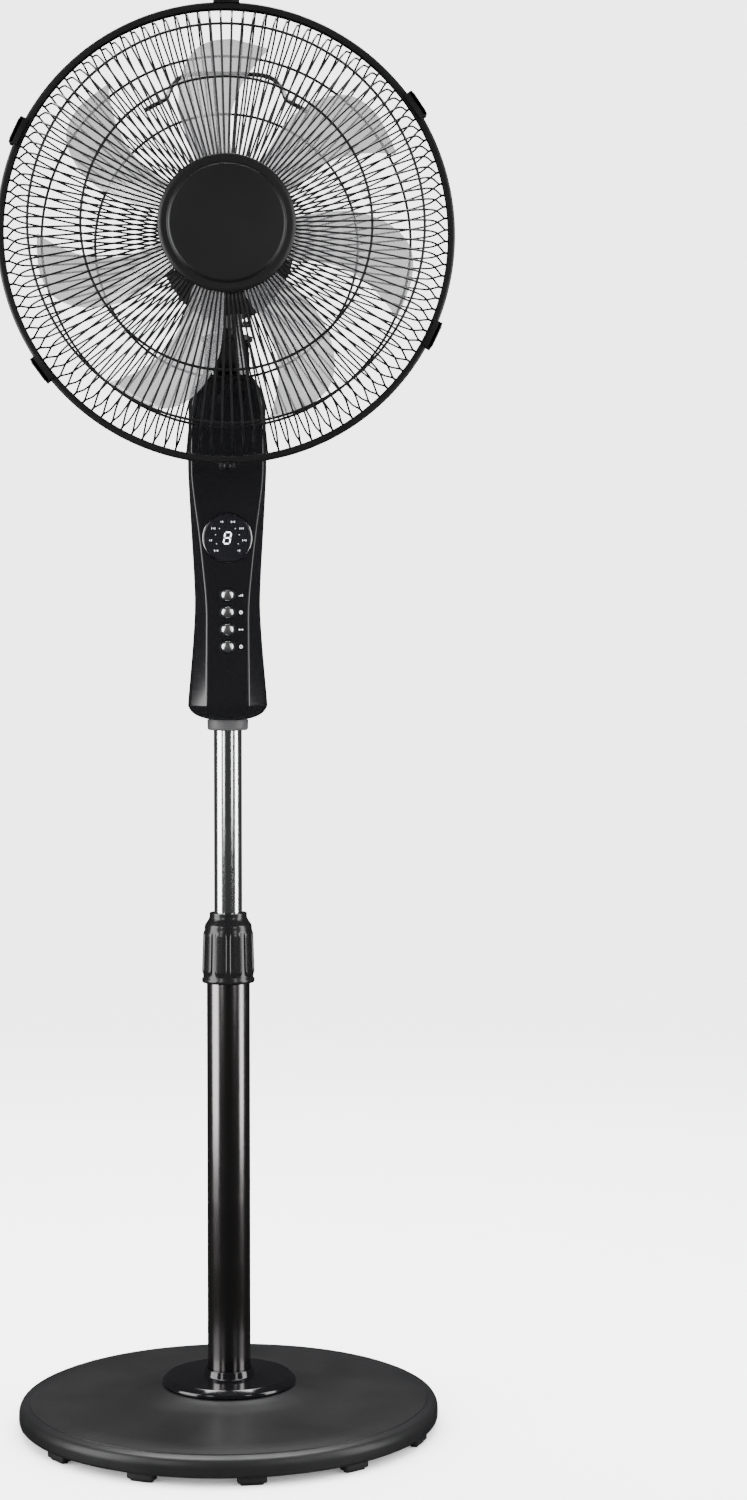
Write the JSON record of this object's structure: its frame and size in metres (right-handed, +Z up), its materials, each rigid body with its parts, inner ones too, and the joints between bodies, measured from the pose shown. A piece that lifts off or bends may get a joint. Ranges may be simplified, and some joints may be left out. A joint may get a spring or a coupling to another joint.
{
  "type": "pedestal fan",
  "caption": "Height-adjustable pedestal fan with a weighted round base, chromed pole, control box with display and buttons, and a swinging, tilting head in a wire cage.",
  "frame": {"origin": "on the floor under the pole's axis, at the centre of the object's footprint box", "axes": "+Z up along the pole; the fan blows towards -Y, with its front guard and display facing -Y; +X is to the viewer's right as seen from the front"},
  "size_m": [0.4, 0.39, 1.289],
  "materials": {
    "satin_black": "satin black powder coat",
    "gloss_black": "gloss black",
    "matt_black": "matt black",
    "wire_black": "semi-gloss black coated wire",
    "dark_chrome": "dark chrome, mirror finish",
    "chrome": "bright chrome",
    "chrome_plastic": "chromed plastic",
    "steel": "zinc-plated steel",
    "cast_metal": "as cast",
    "copper": "enamelled copper wire",
    "brass": "sintered bearing bronze",
    "laminations": "stacked steel sheet",
    "grey_plastic": "dark grey, fine matt",
    "grey_rubber": "dark grey ribbed sleeve",
    "white_plastic": "natural white",
    "smoke_plastic": "smoky see-through grey",
    "display_glass": "black, mirror gloss",
    "board_green": "solder resist green",
    "ballast": "cast mineral ballast",
    "satin_black_plastic": "satin black",
    "matt_black_plastic": "matt black",
    "gloss_black_plastic": "piano black"
  },
  "bodies": {
    "base": {"base_cover": "satin_black", "base_weight": "ballast", "base_plate": "matt_black", "base_washer": "steel", "base_bolt": "steel", "pole_foot": "cast_metal", "pole_flange": "gloss_black", "outer_pole": "dark_chrome", "clamp_sleeve": "white_plastic"},
    "collar": {"height_collar": "gloss_black_plastic"},
    "stem": {"inner_pole": "chrome", "pole_guide": "white_plastic", "stem_socket": "grey_plastic", "control_front_shell": "gloss_black_plastic", "control_back_shell": "gloss_black_plastic", "display_ring": "chrome", "display_lens": "display_glass", "display_board": "board_green", "control_board": "board_green", "shell_screw_lower": "steel", "shell_screw_upper": "steel", "lead_gland": "matt_black_plastic", "neck_fork": "matt_black_plastic", "tilt_bolt": "steel", "tilt_nut": "steel"},
    "speed_button": {"button_speed": "chrome_plastic"},
    "timer_button": {"button_timer": "chrome_plastic"},
    "swing_button": {"button_swing": "chrome_plastic"},
    "off_button": {"button_off": "chrome_plastic"},
    "bracket": {"tilt_bracket": "matt_black_plastic"},
    "head": {"swing_spindle": "steel", "spindle_screw": "steel", "motor_rear_shield": "cast_metal", "motor_front_shield": "matt_black", "front_bearing": "brass", "rear_bearing": "brass", "stator_core": "laminations", "front_winding": "copper", "rear_winding": "copper", "motor_cover": "gloss_black_plastic", "casing_screw": "steel", "swing_motor": "steel", "motor_lead": "grey_rubber", "guard_nut": "matt_black_plastic", "rear_guard": "wire_black", "guard_handle": "wire_black", "front_guard": "wire_black", "guard_hoop": "satin_black_plastic", "hoop_screw": "steel", "centre_cap": "satin_black_plastic"},
    "pinion": {"swing_pinion": "white_plastic"},
    "rotor": {"motor_rotor": "laminations", "motor_shaft": "steel", "drive_pin": "steel", "fan_blade": "smoke_plastic", "blade_nut": "matt_black_plastic"},
    "clip_1": {"hoop_clip_1": "satin_black_plastic"},
    "clip_2": {"hoop_clip_2": "satin_black_plastic"},
    "clip_3": {"hoop_clip_3": "satin_black_plastic"},
    "clip_4": {"hoop_clip_4": "satin_black_plastic"}
  },
  "joints": [
    {"name": "collar_turn", "type": "hinge", "parent": "base", "child": "collar", "pos_m": [0, 0, 0.414], "axis": [0, 0, 1], "range_deg": [0, 120]},
    {"name": "height_slide", "type": "slide", "parent": "base", "child": "stem", "axis": [0, 0, 1], "range_m": [-0.16, 0.03]},
    {"name": "tilt", "type": "hinge", "parent": "stem", "child": "bracket", "pos_m": [0, 0, 0.987], "axis": [-1, 0, 0], "range_deg": [-10, 25]},
    {"name": "swing", "type": "hinge", "parent": "bracket", "child": "head", "pos_m": [0, 0, 1.0161], "axis": [0, 0, 1], "range_deg": [-42.5, 42.5]},
    {"name": "pinion_turn", "type": "hinge", "parent": "head", "child": "pinion", "pos_m": [0, 0.02875, 1.0101], "axis": [0, 0, 1], "range_deg": [-154, 154]},
    {"name": "blade_spin", "type": "hinge", "parent": "head", "child": "rotor", "pos_m": [0, 0, 1.085], "axis": [0, 1, 0], "continuous": true},
    {"name": "button_speed_press", "type": "slide", "parent": "stem", "child": "speed_button", "axis": [0, 1, 0], "range_m": [0, 0.0015], "stiffness_N_per_m": 600},
    {"name": "button_timer_press", "type": "slide", "parent": "stem", "child": "timer_button", "axis": [0, 1, 0], "range_m": [0, 0.0015], "stiffness_N_per_m": 600},
    {"name": "button_swing_press", "type": "slide", "parent": "stem", "child": "swing_button", "axis": [0, 1, 0], "range_m": [0, 0.0015], "stiffness_N_per_m": 600},
    {"name": "button_off_press", "type": "slide", "parent": "stem", "child": "off_button", "axis": [0, 1, 0], "range_m": [0, 0.0015], "stiffness_N_per_m": 600},
    {"name": "clip_1_open", "type": "hinge", "parent": "head", "child": "clip_1", "pos_m": [0.16704, -0.118, 1.19894], "axis": [-0.5635, 0, 0.8261], "range_deg": [0, 80]},
    {"name": "clip_2_open", "type": "hinge", "parent": "head", "child": "clip_2", "pos_m": [0.1822, -0.118, 0.99731], "axis": [0.4337, 0, 0.9011], "range_deg": [0, 80]},
    {"name": "clip_3_open", "type": "hinge", "parent": "head", "child": "clip_3", "pos_m": [-0.16704, -0.118, 0.97106], "axis": [0.5635, 0, -0.8261], "range_deg": [0, 80]},
    {"name": "clip_4_open", "type": "hinge", "parent": "head", "child": "clip_4", "pos_m": [-0.1822, -0.118, 1.17269], "axis": [-0.4337, 0, -0.9011], "range_deg": [0, 80]}
  ],
  "couplings": [
    {"joint": "pinion_turn", "follows": "swing", "ratio": 3.6}
  ]
}
